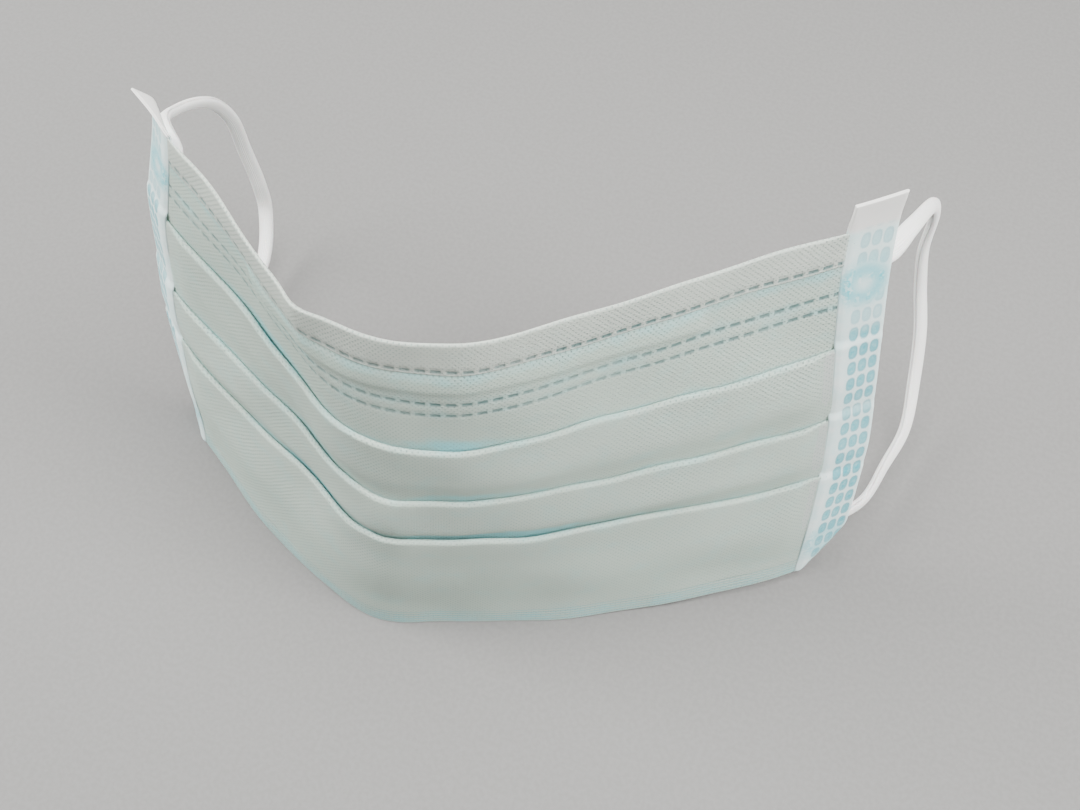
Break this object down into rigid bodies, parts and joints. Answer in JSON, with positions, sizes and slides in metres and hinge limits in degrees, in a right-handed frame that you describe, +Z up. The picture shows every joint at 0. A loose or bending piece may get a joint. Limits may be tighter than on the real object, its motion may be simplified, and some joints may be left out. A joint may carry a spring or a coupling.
{
  "type": "disposable face mask",
  "caption": "Pleated flat-fold three-ply disposable face mask with bound sides, nose wire and elastic ear loops, bent at the nose and standing on its hem.",
  "frame": {"origin": "middle of the hem's underside at the mask's middle line, on the surface it stands on", "axes": "+Z up, +X along the mask towards its right end as drawn, -Y the outer (air) side, so the hollow that takes the face opens towards +Y"},
  "size_m": [0.1801, 0.1135, 0.0992],
  "materials": {
    "outer_spunbond": "pale blue-green spunbond polypropylene, diamond point bond, matt with a faint sheen",
    "meltblown": "white meltblown polypropylene web, matt",
    "inner_spunbond": "white spunbond polypropylene, matt",
    "wire_coating": "white polyethylene-coated iron wire",
    "tape_nonwoven": "thin white nonwoven tape, translucent, with embossed weld dots",
    "fused_spot": "ultrasonically fused nonwoven, semi-gloss",
    "elastic": "soft white knitted elastic"
  },
  "bodies": {
    "left_wing": {"outer_layer_left": "outer_spunbond", "filter_layer_left": "meltblown", "inner_layer_left": "inner_spunbond", "nose_wire_left": "wire_coating", "side_tape_left": "tape_nonwoven", "loop_weld_upper_left": "fused_spot", "loop_weld_lower_left": "fused_spot"},
    "right_wing": {"outer_layer_right": "outer_spunbond", "filter_layer_right": "meltblown", "inner_layer_right": "inner_spunbond", "nose_wire_right": "wire_coating", "side_tape_right": "tape_nonwoven", "loop_weld_upper_right": "fused_spot", "loop_weld_lower_right": "fused_spot"},
    "left_loop": {"ear_loop_left": "elastic"},
    "right_loop": {"ear_loop_right": "elastic"}
  },
  "joints": [
    {"name": "nose_fold", "type": "hinge", "parent": "left_wing", "child": "right_wing", "pos_m": [-0.01748, 0.00596, 0.04606], "axis": [-0.013, 0.2439, 0.9697], "range_deg": [-54, 80]},
    {"name": "left_loop_swing", "type": "hinge", "parent": "left_wing", "child": "left_loop", "pos_m": [-0.07514, 0.03811, 0.04477], "axis": [0.0005, -0.2723, -0.9622], "range_deg": [-7, 125], "stiffness_Nm_per_rad": 0.01},
    {"name": "right_loop_swing", "type": "hinge", "parent": "right_wing", "child": "right_loop", "pos_m": [0.06619, 0.06306, 0.04652], "axis": [-0.1734, 0.3194, 0.9316], "range_deg": [-10, 130], "stiffness_Nm_per_rad": 0.01}
  ]
}
